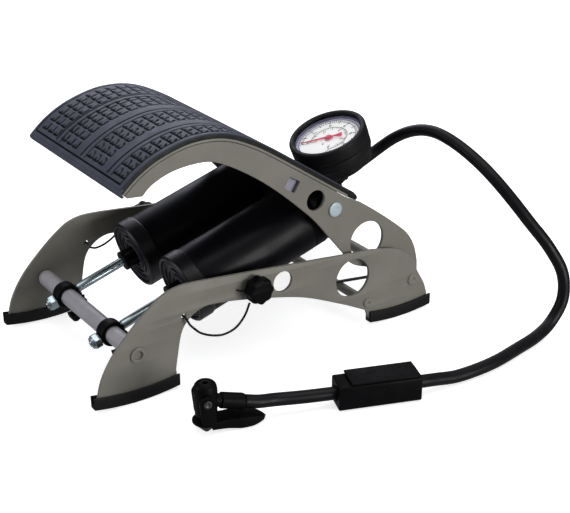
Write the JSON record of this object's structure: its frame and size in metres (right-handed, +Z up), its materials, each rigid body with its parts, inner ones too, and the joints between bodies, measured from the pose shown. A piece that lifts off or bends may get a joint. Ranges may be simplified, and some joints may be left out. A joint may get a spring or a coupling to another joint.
{
  "type": "foot air pump",
  "caption": "Twin-barrel foot-operated air pump with a treaded pedal, pressure gauge, hose, adapter box and lock-on valve head.",
  "frame": {"origin": "middle of the base's footprint on the floor, without the hose and what hangs on it", "axes": "+Z up, +X to the pump's right side (the side the hose lies on), -Y towards the toe end of the base"},
  "size_m": [0.2712, 0.3439, 0.174],
  "materials": {
    "grey_paint": "fine textured satin paint",
    "tube_paint": "satin paint",
    "zinc": "bright zinc plate",
    "spring_steel": "dark oiled",
    "black_enamel": "glossy enamel",
    "tread_rubber": "matte moulded tread",
    "rubber": "matte",
    "dial": "printed scale",
    "needle": "satin",
    "glass": "clear",
    "black_plastic": "satin moulded"
  },
  "bodies": {
    "rods": {"piston_rod_left": "zinc", "rod_nut_left": "zinc", "rod_saddle_left": "black_plastic", "piston_left": "black_plastic", "piston_seal_left": "rubber", "piston_rod_right": "zinc", "rod_nut_right": "zinc", "rod_saddle_right": "black_plastic", "piston_right": "black_plastic", "piston_seal_right": "rubber"},
    "barrels": {"barrel_left": "black_enamel", "front_cap_left": "black_plastic", "rod_gland_left": "black_plastic", "barrel_right": "black_enamel", "front_cap_right": "black_plastic", "rod_gland_right": "black_plastic", "cylinder_head": "black_plastic", "outlet_manifold": "black_plastic", "check_valve_ball": "rubber", "hose_ferrule": "black_plastic", "gauge_case": "black_plastic", "gauge_bezel": "black_plastic", "gauge_lens": "glass", "gauge_dial": "dial"},
    "needle": {"gauge_needle": "needle"},
    "base": {"base_plate_left": "grey_paint", "foot_pad_front_left": "rubber", "foot_pad_rear_left": "rubber", "pivot_spacer_left": "black_plastic", "return_spring_left": "spring_steel", "base_plate_right": "grey_paint", "foot_pad_front_right": "rubber", "foot_pad_rear_right": "rubber", "pivot_spacer_right": "black_plastic", "return_spring_right": "spring_steel", "front_cross_tube": "tube_paint", "pivot_axle": "grey_paint", "lower_cross_bar": "grey_paint", "tether_left": "rubber", "tether_right": "rubber", "hose": "rubber", "adapter_box": "black_plastic", "adapter_box_lid": "black_plastic", "valve_head": "black_plastic", "valve_seal": "rubber", "valve_sleeve": "black_plastic", "lever_pin": "zinc"},
    "pedal": {"pedal_side_plate_left": "grey_paint", "pedal_side_plate_right": "grey_paint", "pedal_top_plate": "grey_paint", "pedal_pad": "tread_rubber", "cylinder_pin": "zinc"},
    "lock_pin_left": {"lock_pin_left": "black_plastic"},
    "lock_pin_right": {"lock_pin_right": "black_plastic"},
    "valve_lever": {"valve_lever": "black_plastic"}
  },
  "joints": [
    {"name": "pedal_pivot", "type": "hinge", "parent": "base", "child": "pedal", "pos_m": [0, 0.1244, 0.0268], "axis": [1, 0, 0], "range_deg": [0, 28.5], "stiffness_Nm_per_rad": 3, "springref_deg": -68.75, "deforming": ["hose", "return_spring_left", "return_spring_right"]},
    {"name": "rod_swing", "type": "hinge", "parent": "base", "child": "rods", "pos_m": [0, -0.1083, 0.0341], "axis": [1, 0, 0], "range_deg": [-12.3, 0.1]},
    {"name": "barrel_slide", "type": "slide", "parent": "rods", "child": "barrels", "axis": [0, 0.9553, 0.2957], "range_m": [-0.0385, 0.0005]},
    {"name": "gauge_needle_turn", "type": "hinge", "parent": "barrels", "child": "needle", "pos_m": [0, 0.0976, 0.1279], "axis": [0, -0.3746, 0.9272], "range_deg": [-250, 0], "stiffness_Nm_per_rad": 0.0002},
    {"name": "lock_left_pull", "type": "slide", "parent": "base", "child": "lock_pin_left", "axis": [-1, 0, 0], "range_m": [0, 0.02]},
    {"name": "lock_right_pull", "type": "slide", "parent": "base", "child": "lock_pin_right", "axis": [1, 0, 0], "range_m": [0, 0.02]},
    {"name": "valve_lever_flip", "type": "hinge", "parent": "base", "child": "valve_lever", "pos_m": [0.13264, -0.09245, 0.025], "axis": [-0.9703, 0.2419, 0], "range_deg": [0, 90]}
  ],
  "couplings": [
    {"joint": "rod_swing", "follows": "pedal_pivot", "ratio": -0.42},
    {"joint": "barrel_slide", "follows": "pedal_pivot", "m_per_rad": -0.0755}
  ]
}
